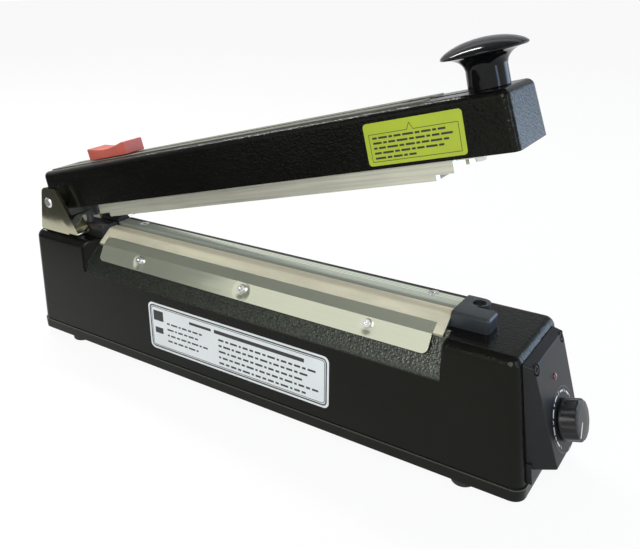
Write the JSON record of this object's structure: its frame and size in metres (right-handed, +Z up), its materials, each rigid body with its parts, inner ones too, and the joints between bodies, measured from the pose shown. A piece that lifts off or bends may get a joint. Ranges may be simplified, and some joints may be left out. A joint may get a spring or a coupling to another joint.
{
  "type": "heat sealer with cutter",
  "caption": "Counter-top impulse heat sealer with a sprung lever arm, a film cutter that slides along the arm and a timer dial.",
  "frame": {"origin": "middle of the overall length and width, on the table under the feet", "axes": "X along the sealer from the hinge (-X) to the control panel (+X), -Y the front with the clamp strip, Z up"},
  "size_m": [0.4736, 0.0766, 0.2702],
  "materials": {
    "black_powder_coat": "textured black powder coat",
    "tray_paint": "satin black paint",
    "foot_rubber": "moulded black rubber",
    "screw_steel": "zinc plated steel",
    "black_screw": "blackened steel",
    "jaw_aluminium": "drawn aluminium",
    "ptfe_cloth": "tan PTFE coated glass cloth",
    "insulation": "heat resisting laminate",
    "ribbon_alloy": "resistance ribbon",
    "polished_strip": "polished stainless steel",
    "block_plastic": "moulded phenolic",
    "terminal_brass": "turned brass",
    "bracket_chrome": "bright nickel plate",
    "nylon": "natural nylon",
    "panel_grey": "dark grey moulded plastic",
    "lens_red": "red indicator lens",
    "pot_metal": "pressed steel",
    "board_green": "circuit board laminate",
    "board_black": "moulded components",
    "core_steel": "stacked laminations",
    "coil_copper": "enamelled winding",
    "wire_red": "insulated wire",
    "silicone_pad": "silicone rubber",
    "spring_steel": "spring wire",
    "handle_black": "gloss black moulding",
    "slider_red": "red moulding",
    "blade_steel": "ground steel",
    "knob_black": "black moulding"
  },
  "bodies": {
    "base": {"bottom_tray": "tray_paint", "rubber_feet": "foot_rubber", "foot_screws": "screw_steel", "base_casing": "black_powder_coat", "casing_screws": "screw_steel", "jaw_bar": "jaw_aluminium", "jaw_bar_screws": "screw_steel", "insulating_strip": "insulation", "heating_ribbon": "ribbon_alloy", "ptfe_cover": "ptfe_cloth", "clamp_strip": "polished_strip", "clamp_strip_screws": "screw_steel", "cutting_rail": "jaw_aluminium", "rail_screws": "screw_steel", "right_end_block": "block_plastic", "left_end_block": "block_plastic", "end_block_screws": "black_screw", "right_terminal": "terminal_brass", "left_terminal": "terminal_brass", "hinge_bracket": "bracket_chrome", "bracket_screws": "screw_steel", "hinge_pin": "screw_steel", "hinge_washers": "nylon", "control_panel": "panel_grey", "panel_screws": "black_screw", "indicator_lens": "lens_red", "timer_potentiometer": "pot_metal", "timer_nut": "pot_metal", "timer_board": "board_green", "board_parts": "board_black", "transformer_core": "core_steel", "transformer_coil": "coil_copper", "transformer_strap": "pot_metal", "strap_screws": "screw_steel", "microswitch": "board_black", "switch_bracket": "pot_metal", "wiring": "wire_red", "cord_gland": "foot_rubber"},
    "arm": {"arm_casting": "black_powder_coat", "cutter_track": "jaw_aluminium", "front_pressure_bar": "jaw_aluminium", "rear_pressure_bar": "jaw_aluminium", "sealing_pad": "silicone_pad", "clamping_pad": "silicone_pad", "pressure_bar_screws": "screw_steel", "arm_end_plate": "jaw_aluminium", "front_hinge_plate": "bracket_chrome", "rear_hinge_plate": "bracket_chrome", "switch_striker": "nylon", "return_spring": "spring_steel", "handle_knob": "handle_black", "handle_screw": "screw_steel"},
    "cutter": {"cutter_slider": "slider_red", "cutter_carriage": "board_black", "blade_holder": "blade_steel", "cutter_blade": "blade_steel"},
    "timer": {"timer_knob": "knob_black", "timer_shaft": "pot_metal"},
    "plunger": {"switch_plunger": "board_black"},
    "button": {"switch_button": "wire_red"}
  },
  "joints": [
    {"name": "arm_hinge", "type": "hinge", "parent": "base", "child": "arm", "pos_m": [-0.20582, 0, 0.1264], "axis": [0, 1, 0], "range_deg": [0, 13.85], "stiffness_Nm_per_rad": 8, "springref_deg": -45.84, "deforming": ["return_spring"]},
    {"name": "cutter_slide", "type": "slide", "parent": "arm", "child": "cutter", "axis": [0.9709, 0, 0.2394], "range_m": [-0.034, 0.281]},
    {"name": "timer_turn", "type": "hinge", "parent": "base", "child": "timer", "pos_m": [0.22229, 0, 0.0486], "axis": [-0.9579, 0, -0.287], "range_deg": [0, 270]},
    {"name": "plunger_slide", "type": "slide", "parent": "base", "child": "plunger", "axis": [0, 0, -1], "range_m": [0, 0.00616]},
    {"name": "button_press", "type": "slide", "parent": "base", "child": "button", "axis": [0, 0, -1], "range_m": [0, 0.001], "stiffness_N_per_m": 400, "springref_m": -0.001}
  ],
  "couplings": [
    {"joint": "plunger_slide", "follows": "arm_hinge", "m_per_rad": 0.025084}
  ]
}
